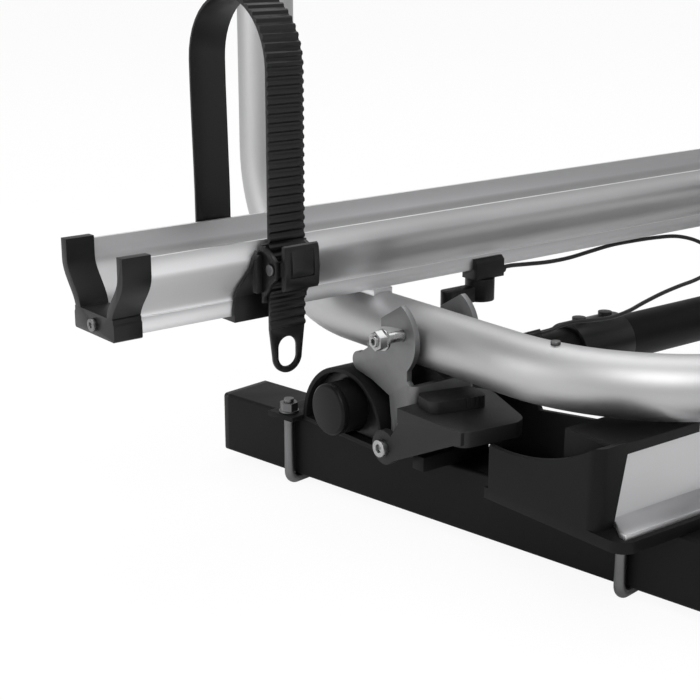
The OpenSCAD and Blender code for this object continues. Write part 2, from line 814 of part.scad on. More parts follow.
module wheel_rail() {
    color("#bfc1c3") difference() {
        translate([0, rail_y, rail_z]) along_x(rail_len) rail_section();
        for (x = [-1, 1])
            translate([x * leg_x, rail_y, rail_z - 1]) cylinder(d = 8.4, h = foot_h + 2);
    }
}

module rail_end_caps() {
    side_out = wall_at(0) + cap_skin;
    color("#1f1f20") for (side = [-1, 1]) on_side(side)
        translate([-rail_len / 2, rail_y, rail_z]) rotate([90, 0, 90]) {
            translate([0, 0, -cap_skin]) linear_extrude(cap_skin) difference() {
                union() {
                    offset(delta = cap_skin) rail_section();
                    cap_foot(side_out);
                }
                translate([0, 5]) circle(2.6);
            }
            linear_extrude(cap_len - cap_skin) difference() {
                union() {
                    offset(delta = cap_skin) rail_section();
                    cap_foot(side_out);
                }
                offset(delta = 0.15) rail_section();
                translate([0, 5]) circle(6);
                translate([-wall_at(0) + rail_t - 0.5, -0.15])
                    square([2 * (wall_at(0) - rail_t) + 1, foot_h - rail_t + 0.5]);
            }
        }
}
// The cap's closed foot, a little wider than its walls
module cap_foot(half)
    polygon([[-half, -cap_skin], [half, -cap_skin], [half + 1, 1 - cap_skin], [half + 1, foot_h - 2],
        [half - 0.5, foot_h], [0.5 - half, foot_h], [-half - 1, foot_h - 2], [-half - 1, 1 - cap_skin]]);

module end_cap_screws() {
    color("#5c5e60") for (side = [-1, 1]) on_side(side)
        translate([-rail_len / 2 - cap_skin, rail_y, rail_z + 5]) rotate([0, 90, 0]) difference() {
            union() {
                translate([0, 0, -3]) cylinder(d = 9, h = 3);
                translate([0, 0, -lap]) cylinder(d = 3.9, h = 16 + lap);
            }
            translate([0, 0, -4]) cylinder(d = 4.4, h = 2.5, $fn = 6);
        }
}

module rail_seats() {
    color("#b4b6b8") for (x = [-1, 1]) translate([x * leg_x, rail_y, 0]) difference() {
        translate([-9, -27, rail_z - 7]) cube([18, 27 + upright_back - rear_bend_r - side_gap, 7]);
        translate([0, 0, hoop_z]) rotate([0, 0, 90]) rod_x(60, hoop_d + 0.1);
        translate([0, 0, rail_z - 10]) cylinder(d = 8.4, h = 20);
    }
}

module rail_bolts() {
    color("#a8aaac") for (x = [-1, 1]) translate([x * leg_x, rail_y, rail_z + foot_h]) {
        cylinder(d = 14, h = 4.5);
        translate([0, 0, -foot_h - seat_gap - hoop_wall - 8])
            cylinder(d = 8, h = foot_h + seat_gap + hoop_wall + 8 + lap);
    }
}

// Moulded plate that follows the rail's wall from under its foot to a height
module wall_clip_section(height) {
    near = 0.25;
    far = 0.25 + holder_t;
    top = rail_h - 12;
    polygon(concat(
        [[rail_foot_w / 2 - 12, -0.3], [wall_at(0) + near, -0.3], [wall_at(0) + near, foot_h + near]],
        [for (h = wall_heights()) if (h > foot_h + 2.5) [wall_at(h) + near, h]],
        [[rail_top_w / 2 + near, height], [rail_top_w / 2 + far, height]],
        [for (i = [wall_steps:-1:0]) let (h = wall_heights()[i]) if (h > foot_h + 2.5) [wall_at(h) + far, h]],
        [[wall_at(0) + far, foot_h + near], [wall_at(0) + far, -0.3 - holder_t],
            [rail_foot_w / 2 - 12, -0.3 - holder_t]]));
}

module strap_holders() {
    w = 54;
    left = -w / 2;
    base = rail_top_w / 2 + holder_t;
    color("#1e1e1f") for (side = [-1, 1]) on_side(side)
        translate([-strap_x - 4, rail_y, rail_z]) intersection() {
            union() {
                along_x(w) mirror([1, 0]) wall_clip_section(rail_h - 6);
                translate([left + 6.5, -base - 3.2, 20]) cube([5, 5, 27]);
            }
            rotate([90, 0, 0]) linear_extrude(100) polygon([[left, -10], [left, 4], [left + 6.5, 44],
                [left + 10, 49], [w / 2, 50], [w / 2, -10]]);
        }
}

module strap_anchors() {
    color("#1e1e1f") for (side = [-1, 1]) on_side(side) translate([-strap_x, rail_y, rail_z]) {
        along_x(strap_w + 6) wall_clip_section(rail_h - 8);
        translate([0, rail_top_w / 2, rail_h - 20]) rotate([-90, 0, 0]) {
            cylinder(d = 7, h = holder_t + strap_t + 1);
            translate([0, 0, holder_t + strap_t + 0.6]) cylinder(d = 12, h = 2);
        }
    }
}

// Channel with two cheeks that guides the strap and carries the lever's pin
module buckle_frames() {
    base = rail_top_w / 2 + holder_t + 0.25;
    color("#232324") for (side = [-1, 1]) translate([side * strap_x, rail_y, rail_z]) difference() {
        union() {
            translate([-buckle_half - 3, -base - 2.4, 12]) cube([2 * buckle_half + 6, 2.4, 42]);
            for (x = [-1, 1]) translate([x * (buckle_half + 1.5), 0, 0]) along_x(3)
                polygon([[-base, 12], [-lever_y + 1, 27], [-lever_y - 5, 32], [-lever_y - 5, 44],
                    [-lever_y + 1, 49], [-base, 54]]);
        }
        translate([0, -lever_y, lever_z - rail_z]) rod_x(60, 5.1);
    }
}

module buckle_pins() {
    color("#8d8f91") for (side = [-1, 1])
        translate([side * strap_x, rail_y - lever_y, lever_z]) {
            rod_x(2 * buckle_half + 8, 5);
            for (x = [-1, 1]) translate([x * (buckle_half + 4.2), 0, 0]) rod_x(1.6, 8);
        }
}

// Half-width points of the strap's path, by length s from the tail: up the near side, out, and over
strap_low = rail_z - 8;
strap_straight = rail_top + 2 - strap_low;
strap_swell = 70;
strap_rise = strap_arch_h - 2 - strap_swell - strap_arch_r;
strap_over = strap_arch_r * PI;
bend_from = strap_straight + strap_swell + strap_rise;
function swell_y(t, from) = from + (strap_arch_r - from) * (1 - cos(180 * t)) / 2;
function near_point(s) =
    s < strap_straight ? [-band_y, strap_low + s]
    : s < strap_straight + strap_swell
        ? [-swell_y((s - strap_straight) / strap_swell, band_y), strap_low + s]
    : s < bend_from ? [-strap_arch_r, strap_low + s]
    : let (a = min(180, (s - bend_from) / strap_over * 180))
        [-strap_arch_r * cos(a), strap_low + bend_from + strap_arch_r * sin(a)];
// Direction to the outside of the strap at length s
function outward(s) = let (d = unit(near_point(s + 0.5) - near_point(s - 0.5))) [-d[1], d[0]];

// The far end runs down to the anchor
far_y = rail_top_w / 2 + holder_t + 0.4 + strap_t / 2;
function far_point(t) = [swell_y(1 - t, far_y), strap_low + bend_from - (strap_rise + strap_swell) * t];

module wheel_strap(side) {
    toothed = bend_from + strap_over * 0.62;
    teeth = floor(toothed / tooth_pitch);
    quarter = tooth_pitch / 4;
    half = strap_t / 2;
    outer_near = [for (i = [0:4 * teeth])
        near_point(i * quarter) + (half + (i % 4 == 1 || i % 4 == 2 ? tooth_h : 0)) * outward(i * quarter)];
    done = teeth * tooth_pitch;
    rest = [for (i = [1:8]) done + (bend_from + strap_over - done) * i / 8];
    outer_rest = [for (s = rest) near_point(s) + half * outward(s)];
    inner_steps = 56;
    inner_near = [for (i = [inner_steps:-1:0]) let (s = (bend_from + strap_over) * i / inner_steps)
        near_point(s) - half * outward(s)];
    far = [for (i = [1:6]) far_point(i / 6)];
    end_z = rail_z + rail_h - 28;
    tab_r = strap_w / 2 - 2.6;
    tab_z = -21;
    color("#19191a") translate([side * strap_x, rail_y, 0]) {
        difference() {
            along_x(strap_w) polygon(concat(outer_near, outer_rest, [for (p = far) p + [half, 0]],
                [[far_y + half, end_z], [far_y - half, end_z]],
                [for (i = [5:-1:0]) far[i] - [half, 0]], inner_near));
            translate([0, far_y, rail_z + rail_h - 20]) rotate([90, 0, 0])
                cylinder(d = 7.4, h = 10, center = true);
        }
        translate([0, half - band_y, strap_low]) rotate([90, 0, 0]) linear_extrude(strap_t) difference() {
            union() {
                polygon([[-strap_w / 2, lap], [strap_w / 2, lap], [tab_r, tab_z], [-tab_r, tab_z]]);
                translate([0, tab_z]) circle(tab_r);
            }
            for (z = [tab_z, tab_z + 6.5]) translate([0, z]) circle(8);
            translate([-8, tab_z]) square([16, 6.5]);
        }
    }
}

// Lever over the strap: a thick pad with a pawl behind the pin
module buckle_lever(side) {
    pad_w = 29;
    color("#242425") translate([side * strap_x, rail_y - lever_y, lever_z]) difference() {
        union() {
            along_x(pad_w) polygon([[-6, -15], [-9, -14.5], [-10.5, -12], [-11.5, 0], [-10.5, 14],
                [-9.5, 16.5], [-8, 17.5], [-6.5, 16.5], [-5.6, 0]]);
            rod_x(2 * buckle_half - 1, 9);
            along_x(2 * buckle_half - 1) polygon([[-8, -4], [0, -4.5], [0, 4.5], [-8, 6]]);
        }
        rod_x(60, 5 + 2 * run_fit);
        for (x = [-1, 1]) translate([x * 9.5, -11.5, 4]) cube([1.6, 2.4, 19], center = true);
        translate([0, -10.5, -5]) cube([20.6, 2.4, 1.6], center = true);
    }
}

// Jaw that hooks the rail's near lip to the right of the left leg
clamp_x = 94 - leg_x;
clamp_len = 30;
lip_out = rail_foot_w / 2 + 1.2;
knob_y = rail_y + 4 - lip_out;
module cable_clamp() {
    color("#1c1c1d") translate([clamp_x + clamp_len / 2, rail_y - lip_out, rail_z]) difference() {
        union() {
            along_x(clamp_len) polygon([[-5, -8], [12, -8], [12, 6.5], [3, 6.5], [3, -0.3], [-0.3, -0.3],
                [-0.3, 9], [-2, 9], [-5, 6]]);
            intersection() {
                translate([clamp_len / 2, 2, -3]) rod_x(10, 9);
                translate([0, -5, -10]) cube([clamp_len, 14, 10 - side_gap]);
            }
        }
        translate([-3, 4, -9]) cylinder(d = 6 + 2 * run_fit, h = 8);
    }
}

module clamp_knob() {
    color("#19191a") translate([clamp_x + 12, knob_y, rail_z - 8 - side_gap]) difference() {
        union() {
            translate([0, 0, -18]) cylinder(d = 24, h = 18);
            translate([-34, -6, -18]) cube([34, 12, 12]);
            translate([-34, 0, -18]) cylinder(d = 12, h = 12);
            translate([0, 0, -lap]) cylinder(d = 6, h = 7);
        }
        translate([0, 0, -19]) cylinder(d = 12, h = 3);
    }
}

// The cable's eye lies on the cross tube, its ferrule pointing out to the side and a little up
eye_z = cross_z + cross_d / 2;
eye_t = 3;
ferrule_dir = [cos(28) * cos(12), -sin(28) * cos(12), sin(12)];
ferrule_end = [anchor_x, cross_y, eye_z + eye_t / 2] + 25 * ferrule_dir;
cable_start = [clamp_x + clamp_len + 5, rail_y + 2 - lip_out, rail_z - 3];

// The cable's way between its ends, from the left leg's axis and the rail's centre: out along the rail,
// round in a loop, and back in front of the cross tube
cable_way = [[160, -19, 20], [185, -18, 18], [210, -18, 18], [235, -18, 20], [262, -18, 22], [290, -18, 22],
    [320, -18, 21], [345, -19, 19], [365, -22, 14], [378, -27, 7], [382, -32, -1], [376, -37, -9],
    [362, -42, -14], [342, -46, -16], [318, -49, -17], [292, -52, -19], [266, -54, -23], [246, -55, -27],
    [224, -55, -29], [200, -53, -28], [182, -48, -28]];
cable_points = concat([cable_start, cable_start + [9, 0, 0]],
    [for (p = cable_way) p + [-leg_x, rail_y, hoop_z]], [ferrule_end + 8 * ferrule_dir, ferrule_end]);
// Points between two of the route's points, on a smooth curve through the neighbours
function route_at(i) = cable_points[min(max(i, 0), len(cable_points) - 1)];
function between(i, t) = let (a = route_at(i - 1), b = route_at(i), c = route_at(i + 1), d = route_at(i + 2))
    0.5 * (2 * b + (c - a) * t + (2 * a - 5 * b + 4 * c - d) * t * t + (3 * b - a - 3 * c + d) * t * t * t);

module restraint_cable() {
    finer = 3;
    last = len(cable_points) - 1;
    path = concat([cable_points[0]],
        [for (i = [1:last - 2], k = [0:finer - 1]) between(i, k / finer)],
        [cable_points[last - 1], cable_points[last]]);
    color("#121213") swept(path, cable_d, [0.1, 1, 0.2], 8);
}

module cable_ferrule() {
    color("#2c2c2d") translate([anchor_x, cross_y, eye_z]) difference() {
        union() {
            cylinder(d = 15, h = eye_t);
            translate([0, 0, eye_t / 2]) rotate([0, -12, -28]) translate([15, 0, 0]) rod_x(20, 6.5);
        }
        translate([0, 0, -1]) cylinder(d = anchor_d + 0.1, h = 20);
        translate([0, 0, eye_t]) cylinder(d = 14, h = 20);
        translate([0, 0, -eye_t - cross_d / 2]) rod_x(80, cross_d);
    }
}

module anchor_bolt() {
    head_r = 6.5;
    color("#1d1d1e") translate([anchor_x, cross_y, eye_z + eye_t]) {
        intersection() {
            translate([0, 0, -3]) sphere(head_r + 1.2);
            cylinder(r = head_r, h = head_r);
        }
        translate([0, 0, -eye_t - cross_wall - 5]) cylinder(d = anchor_d, h = eye_t + cross_wall + 5 + lap);
    }
}

// The bike arm, drawn about the top bar's axis, its tube pointing forward
module rod_y(from, to, d) {
    translate([0, -from, 0]) rotate([90, 0, 0]) cylinder(d = d, h = to - from);
}

module at_arm() {
    translate([arm_x, upright_y, top_z]) children();
}

tube_from = collar_r + 6;
jaw_at = tube_from + arm_len;
jaw_gap = 80;
jaw_low = -37;

module arm_collar() {
    width = 44;
    color("#2a2a2b") at_arm() difference() {
        union() {
            rod_x(width, 2 * collar_r);
            rod_y(collar_r - 4, tube_from + 20, arm_d + 9);
            translate([-width / 2, collar_r - 3, -9]) cube([width, collar_ear + 3, 18]);
        }
        rod_x(width + 10, hoop_d + 2 * run_fit);
        rod_y(tube_from, tube_from + 30, arm_d + 0.1);
        translate([-width, hoop_d / 2 - 2, -1]) cube([2 * width, collar_r + collar_ear, 2]);
        translate([0, collar_r + collar_ear / 2, -15]) cylinder(d = 6.1, h = 30);
    }
}

module arm_screw() {
    color("#a8aaac") at_arm() translate([0, collar_r + collar_ear / 2, 0]) {
        translate([0, 0, -17]) cylinder(d = 6, h = 26 + lap);
        difference() {
            translate([0, 0, 9]) cylinder(d = 11, h = 6);
            translate([0, 0, 12]) cylinder(d = 5.8, h = 4, $fn = 6);
        }
        translate([0, 0, -14]) cylinder(d = 11, h = 5, $fn = 6);
    }
}

module arm_tube() {
    color("#1f1f20") at_arm() difference() {
        rod_y(tube_from, jaw_at, arm_d);
        rod_y(tube_from - 1, jaw_at + 1, arm_d - 5);
    }
}

// U-shaped bracket that takes the bike's tube from above
module arm_jaw() {
    half = 18;
    wall = 5;
    color("#232324") at_arm() difference() {
        union() {
            rod_y(jaw_at - 20, jaw_at + wall, arm_d + 9);
            translate([-half, -jaw_at - jaw_gap - 2 * wall, jaw_low])
                rotate([90, 0, 90]) linear_extrude(2 * half) difference() {
                    square([jaw_gap + 2 * wall, 64]);
                    translate([wall, wall]) square([jaw_gap, 80]);
                }
            rod_y(jaw_at + jaw_gap + wall, jaw_at + jaw_gap + 2 * wall + 8, 22);
        }
        rod_y(jaw_at - 30, jaw_at, arm_d + 0.1);
        rod_y(jaw_at + jaw_gap, jaw_at + jaw_gap + 40, 10 + 2 * run_fit);
    }
}

module jaw_pad() {
    color("#161616") at_arm() translate([-16, -jaw_at - 11, -30]) difference() {
        cube([32, 6, 54]);
        for (z = [8:8:46]) translate([-1, -1, z]) cube([34, 2, 3]);
    }
}

// Pad at the end of the clamping screw, in the middle of its travel
module pressure_pad() {
    color("#161616") at_arm() {
        rod_y(jaw_at + 48, jaw_at + 54, 34);
        rod_y(jaw_at + 53, jaw_at + 60, 18);
    }
}

module arm_knob() {
    knob_at = jaw_at + jaw_gap + 46;
    color("#191919") at_arm() {
        rod_y(jaw_at + 60, knob_at + 10, 10);
        difference() {
            rod_y(knob_at, knob_at + 22, 46);
            for (a = [0:60:300]) rotate([0, a, 0]) translate([0, 0, 27]) rod_y(knob_at - 1, knob_at + 23, 16);
        }
    }
}

base_beam(-1);  // base_beam_left
base_beam(1);  // base_beam_right
beam_plugs();
rear_cross_tube();
cross_tube_caps();
tube_cradles();
saddle(-1);  // saddle_left
saddle(1);  // saddle_right
rest_buffers();
u_bolts();
u_bolt_nuts();
tube_sleeve();
front_profile();
front_bracket(-1);  // front_bracket_left
front_bracket(1);  // front_bracket_right
bearing_blocks();
bearing_caps();
bearing_bolts();
latch_base();
latch_pivot_bolt();
latch_pivot_nut();
latch_spring();
latch_hook();
foot_pedal();
pedal_pad();
hoop_leg(-1);  // hoop_leg_left
hoop_leg(1);  // hoop_leg_right
hoop_front_bends();
hoop_front_tube();
hoop_rear_bends();
hoop_uprights();
hoop_top_bends();
hoop_top_bar();
cross_pin();
cross_pin_nut();
wheel_rail();
rail_end_caps();
end_cap_screws();
rail_seats();
rail_bolts();
strap_holders();
strap_anchors();
buckle_frames();
wheel_strap(-1);  // wheel_strap_left
wheel_strap(1);  // wheel_strap_right
buckle_pins();
buckle_lever(-1);  // buckle_lever_left
buckle_lever(1);  // buckle_lever_right
cable_clamp();
clamp_knob();
restraint_cable();
cable_ferrule();
anchor_bolt();
arm_collar();
arm_screw();
arm_tube();
arm_jaw();
jaw_pad();
pressure_pad();
arm_knob();
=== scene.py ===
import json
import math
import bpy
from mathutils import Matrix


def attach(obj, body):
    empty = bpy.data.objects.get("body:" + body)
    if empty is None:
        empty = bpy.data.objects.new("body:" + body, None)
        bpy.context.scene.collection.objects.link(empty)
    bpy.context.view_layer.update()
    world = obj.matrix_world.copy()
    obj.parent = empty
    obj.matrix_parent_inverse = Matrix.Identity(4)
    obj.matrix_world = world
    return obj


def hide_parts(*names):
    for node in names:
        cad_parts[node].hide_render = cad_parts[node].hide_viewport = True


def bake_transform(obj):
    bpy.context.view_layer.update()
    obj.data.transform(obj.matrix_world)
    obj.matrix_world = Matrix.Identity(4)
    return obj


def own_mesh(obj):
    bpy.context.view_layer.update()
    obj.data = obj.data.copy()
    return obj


bl_info = {
    "name": "Caravan bike carrier",
    "version": (1, 0, 0),
    "blender": (4, 5, 0),
    "location": "3D View > Sidebar > Carrier",
    "description": "Dresses a tilting bike carrier with its finishes, soft edges and restraint cable",
    "category": "Object",
}

import bpy
from bpy.props import FloatProperty, FloatVectorProperty, PointerProperty
from mathutils import Vector

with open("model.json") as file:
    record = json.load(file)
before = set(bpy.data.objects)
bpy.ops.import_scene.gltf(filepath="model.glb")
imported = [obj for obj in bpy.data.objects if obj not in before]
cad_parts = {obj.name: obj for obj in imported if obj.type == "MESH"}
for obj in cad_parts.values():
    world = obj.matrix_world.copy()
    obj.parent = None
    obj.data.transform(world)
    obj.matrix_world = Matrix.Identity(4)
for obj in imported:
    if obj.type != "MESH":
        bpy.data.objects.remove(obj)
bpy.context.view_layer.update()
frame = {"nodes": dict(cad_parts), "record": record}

# Places of the solids, in metres
LEG_X = 0.385
RAIL_Y = 0.1291083
HOOP_Z = 0.1446
RAIL_Z = 0.1701
CROSS_Z = 0.0835
TUBE_R = 0.0225

# Small rivet on top of the left leg: its place and size
RIVET_R = 0.0034
RIVET_H = 0.0026
RIVET_AT = (0.003 - LEG_X, -0.0785, HOOP_Z + TUBE_R)
# Its rim, face and rounding as shares of the radius, its step and dent as shares of the height
RIVET_RIM = 0.3
RIVET_FACE = 0.32
RIVET_EDGE = 0.1
RIVET_STEP = 0.3
RIVET_DENT = 0.25

# The photograph's camera: its place, its turn and tilt in degrees, and its focal length in pixels
CAMERA_AT = (-LEG_X - 0.7083, RAIL_Y - 0.899, HOOP_Z + 0.308)
CAMERA_TURN = 37.8
CAMERA_DOWN = 16.44
FOCAL_PIXELS = 1521.0
PICTURE_PIXELS = 700.0
SENSOR_MM = 36.0

# Studio: the floor's size, the shares of plain white that the camera and the gloss see on it,
# the strength of the world's light, and white itself
FLOOR_SIZE = 30.0
FLOOR_SEEN = 0.93
FLOOR_MIRRORED = 0.12
WORLD_LIGHT = 0.55
WHITE = (1.0, 1.0, 1.0, 1.0)
# Each lamp's name, place, aim, size and power
LAMPS = (
    ("Key softbox", (-1.6, -1.6, 2.4), (-0.2, 0.1, 0.2), 1.6, 46.0),
    ("Side softbox", (-2.4, 0.9, 0.9), (-0.3, 0.1, 0.2), 1.2, 12.0),
    ("Top softbox", (0.6, 0.8, 2.8), (0.0, 0.1, 0.1), 2.4, 40.0),
)

# Distances under which a copied mesh's points are merged: all points, and those of faceted mouldings
MERGE_FINE = 0.00001
MERGE_COARSE = 0.0001
# Angles in degrees: faces that count as one flat face, edges that are rounded, and what smooth shading adds
FLAT = 0.8
SHARP = 32
SMOOTH_MORE = 4
# Widths of the rounded edges of single pieces; the panel holds the widths that many pieces share
FINE_EDGE = 0.0003
STRAP_EDGE = 0.00035
NUT_EDGE = 0.0004
HOOK_EDGE = 0.0005
THIN_EDGE = 0.0006
CHEEK_EDGE = 0.0007
CLIP_EDGE = 0.0009
LEVER_EDGE = 0.0011
BLOCK_EDGE = 0.0012
END_CAP_EDGE = 0.0014
GRIP_EDGE = 0.0018
# Depths of the surface grain
BLACK_GRAIN = 0.00012
METAL_GRAIN = 0.00008
DRAWN_GRAIN = 0.0001
# How far a wall leans where its painted shade begins and where it is full
PAINTED_SHADE_FROM = 0.035
PAINTED_SHADE_TO = 0.23


def node_body(node):
    """Name of the body that holds a CAD node."""
    for body, members in frame["record"]["behaviour"]["bodies"].items():
        if node in members:
            return body
    raise RuntimeError(f"no body holds {node}")


def only(piece):
    """Leaves one piece selected and active, in object mode."""
    if bpy.context.mode != "OBJECT":
        bpy.ops.object.mode_set(mode="OBJECT")
    bpy.ops.object.select_all(action="DESELECT")
    piece.select_set(True)
    bpy.context.view_layer.objects.active = piece


def put_finish(piece, material):
    piece.data.materials.clear()
    piece.data.materials.append(material)


def settle(piece, node, material):
    """Gives a finished piece its finish and its body, and hides the CAD node that it stands for."""
    put_finish(piece, material)
    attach(piece, node_body(node))
    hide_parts(node)
    return piece


def clean_copy(node, name, merge):
    """Copies a CAD node's mesh and merges its loose triangles into whole faces."""
    source = frame["nodes"][node]
    piece = source.copy()
    piece.data = source.data.copy()
    piece.name = name
    piece.parent = None
    for key in list(piece.keys()):
        del piece[key]
    bpy.context.scene.collection.objects.link(piece)
    piece.hide_render = False
    piece.hide_viewport = False
    only(piece)
    if piece.data.has_custom_normals:
        bpy.ops.mesh.customdata_custom_splitnormals_clear()
    bpy.ops.object.mode_set(mode="EDIT")
    bpy.ops.mesh.select_all(action="SELECT")
    bpy.ops.mesh.remove_doubles(threshold=merge)
    bpy.ops.mesh.dissolve_limited(angle_limit=math.radians(FLAT))
    bpy.ops.object.mode_set(mode="OBJECT")
    return piece


def soften_edges(piece, width, segments, sharp):
    """Rounds the edges that are sharper than an angle, and shades the rest smoothly."""
    only(piece)
    bevel = piece.modifiers.new("Soft edges", "BEVEL")
    bevel.width = width
    bevel.segments = segments
    bevel.limit_method = "ANGLE"
    bevel.angle_limit = math.radians(sharp)
    bpy.ops.object.modifier_apply(modifier=bevel.name)
    bpy.ops.object.shade_smooth_by_angle(angle=math.radians(sharp + SMOOTH_MORE))


def dress(node, name, material, edge, segments=2, sharp=SHARP, merge=MERGE_FINE):
    """Stands a copy in for a CAD node, with soft edges where the edge's width isn't nothing."""
    piece = clean_copy(node, name, merge)
    if edge:
        soften_edges(piece, edge, segments, sharp)
    else:
        bpy.ops.object.shade_smooth_by_angle(angle=math.radians(sharp))
    return settle(piece, node, material)


def new_group(name, inputs, outputs):
    """Finds a node group, or makes it and gives its input and output nodes too."""
    group = bpy.data.node_groups.get(name)
    if group:
        return group, None, None
    group = bpy.data.node_groups.new(name, "ShaderNodeTree")
    for label, kind, value in inputs:
        socket = group.interface.new_socket(label, in_out="INPUT", socket_type=kind)
        socket.default_value = value
    for label, kind in outputs:
        group.interface.new_socket(label, in_out="OUTPUT", socket_type=kind)
    return group, group.nodes.new("NodeGroupInput"), group.nodes.new("NodeGroupOutput")


def fine_grain():
    """Fine even grain of moulded, coated and blasted surfaces."""
    group, given, out = new_group(
        "Fine grain",
        [("Scale", "NodeSocketFloat", 900.0), ("Softness", "NodeSocketFloat", 0.5)],
        [("Height", "NodeSocketFloat"), ("Speck", "NodeSocketFloat")],
    )
    if given is None:
        return group
    nodes, links = group.nodes, group.links
    place = nodes.new("ShaderNodeTexCoord")
    noise = nodes.new("ShaderNodeTexNoise")
    noise.inputs["Detail"].default_value = 3.0
    speck = nodes.new("ShaderNodeTexNoise")
    speck.inputs["Scale"].default_value = 160.0
    speck.inputs["Detail"].default_value = 5.0
    links.new(place.outputs["Object"], noise.inputs["Vector"])
    links.new(place.outputs["Object"], speck.inputs["Vector"])
    links.new(given.outputs["Scale"], noise.inputs["Scale"])
    links.new(given.outputs["Softness"], noise.inputs["Roughness"])
    links.new(noise.outputs["Fac"], out.inputs["Height"])
    links.new(speck.outputs["Fac"], out.inputs["Speck"])
    return group


def drawn_streaks():
    """Long fine lines that an extrusion die leaves along X."""
    group, given, out = new_group(
        "Drawn streaks",
        [("Density", "NodeSocketFloat", 1.0)],
        [("Height", "NodeSocketFloat")],
    )
    if given is None:
        return group
    nodes, links = group.nodes, group.links
    place = nodes.new("ShaderNodeTexCoord")
    stretch = nodes.new("ShaderNodeMapping")
    stretch.inputs["Scale"].default_value = (1.6, 420.0, 420.0)
    fine = nodes.new("ShaderNodeTexNoise")
    fine.inputs["Detail"].default_value = 4.0
    links.new(place.outputs["Object"], stretch.inputs["Vector"])
    links.new(stretch.outputs["Vector"], fine.inputs["Vector"])
    links.new(given.outputs["Density"], fine.inputs["Scale"])
    links.new(fine.outputs["Fac"], out.inputs["Height"])
    return group


def handling_marks():
    """Soft patches where hands, shoes and cloths have dulled or polished a surface."""
    group, given, out = new_group(
        "Handling marks",
        [("Scale", "NodeSocketFloat", 14.0), ("Amount", "NodeSocketFloat", 0.5)],
        [("Mask", "NodeSocketFloat")],
    )
    if given is None:
        return group
    nodes, links = group.nodes, group.links
    place = nodes.new("ShaderNodeTexCoord")
    patches = nodes.new("ShaderNodeTexNoise")
    patches.inputs["Detail"].default_value = 6.0
    patches.inputs["Distortion"].default_value = 0.4
    spread = nodes.new("ShaderNodeMapRange")
    spread.inputs["From Min"].default_value = 0.42
    spread.inputs["From Max"].default_value = 0.66
    share = nodes.new("ShaderNodeMath")
    share.operation = "MULTIPLY"
    links.new(place.outputs["Object"], patches.inputs["Vector"])
    links.new(given.outputs["Scale"], patches.inputs["Scale"])
    links.new(patches.outputs["Fac"], spread.inputs["Value"])
    links.new(spread.outputs["Result"], share.inputs[0])
    links.new(given.outputs["Amount"], share.inputs[1])
    links.new(share.outputs["Value"], out.inputs["Mask"])
    return group


def place_group(tree, group, **values):
    """Puts a node group into a finish, with numbers on its inputs."""
    node = tree.nodes.new("ShaderNodeGroup")
    node.node_tree = group
    for label, value in values.items():
        node.inputs[label].default_value = value
    return node


def tone_between(tree, factor, low, high):
    """Colour that runs from low to high with a 0 to 1 value."""
    mix = tree.nodes.new("ShaderNodeMix")
    mix.data_type = "RGBA"
    mix.inputs["A"].default_value = (*low, 1.0)
    mix.inputs["B"].default_value = (*high, 1.0)
    tree.links.new(factor, mix.inputs["Factor"])
    return mix.outputs["Result"]


def value_between(tree, factor, low, high):
    """Number that runs from low to high with a 0 to 1 value."""
    span = tree.nodes.new("ShaderNodeMapRange")
    span.inputs["To Min"].default_value = low
    span.inputs["To Max"].default_value = high
    tree.links.new(factor, span.inputs["Value"])
    return span.outputs["Result"]


def new_finish(name):
    """Makes an empty finish: the material, its node tree and its shader."""
    material = bpy.data.materials.new(name)
    material.use_nodes = True
    tree = material.node_tree
    tree.nodes.clear()
    shader = tree.nodes.new("ShaderNodeBsdfPrincipled")
    output = tree.nodes.new("ShaderNodeOutputMaterial")
    tree.links.new(shader.outputs["BSDF"], output.inputs["Surface"])
    return material, tree, shader


def raise_surface(tree, shader, height, strength, distance):
    """Lets a height bend the shader's normal."""
    bump = tree.nodes.new("ShaderNodeBump")
    bump.inputs["Strength"].default_value = strength
    bump.inputs["Distance"].default_value = distance
    tree.links.new(height, bump.inputs["Height"])
    tree.links.new(bump.outputs["Normal"], shader.inputs["Normal"])


def shade(colour, factor):
    """Darker or paler tone of a colour."""
    return tuple(max(0.0, min(1.0, c * factor)) for c in colour)


def black_finish(name, colour, rough, grain, strength, marks, shine=0.34):
    """Black coating, plastic or rubber: an even grain, with patches a little paler and duller."""
    if name in bpy.data.materials:
        return bpy.data.materials[name]
    material, tree, shader = new_finish(name)
    surface = place_group(tree, fine_grain(), Scale=grain, Softness=0.55)
    worn = place_group(tree, handling_marks(), Scale=17.0, Amount=marks).outputs["Mask"]
    tree.links.new(tone_between(tree, worn, colour, shade(colour, 1.55)), shader.inputs["Base Color"])
    tree.links.new(value_between(tree, worn, rough, min(1.0, rough + 0.16)), shader.inputs["Roughness"])
    raise_surface(tree, shader, surface.outputs["Height"], strength, BLACK_GRAIN)
    shader.inputs["Specular IOR Level"].default_value = shine
    return material


def metal_finish(name, colour, rough, grain, strength, marks, darker=0.86, spread=0.1):
    """Plated or anodised metal: blasted grain under soft patches of tone."""
    if name in bpy.data.materials:
        return bpy.data.materials[name]
    material, tree, shader = new_finish(name)
    surface = place_group(tree, fine_grain(), Scale=grain, Softness=0.6)
    worn = place_group(tree, handling_marks(), Scale=11.0, Amount=marks).outputs["Mask"]
    sheen = value_between(tree, surface.outputs["Speck"], rough - spread / 2, rough + spread / 2)
    tree.links.new(tone_between(tree, worn, colour, shade(colour, darker)), shader.inputs["Base Color"])
    tree.links.new(sheen, shader.inputs["Roughness"])
    raise_surface(tree, shader, surface.outputs["Height"], strength, METAL_GRAIN)
    shader.inputs["Metallic"].default_value = 1.0
    return material


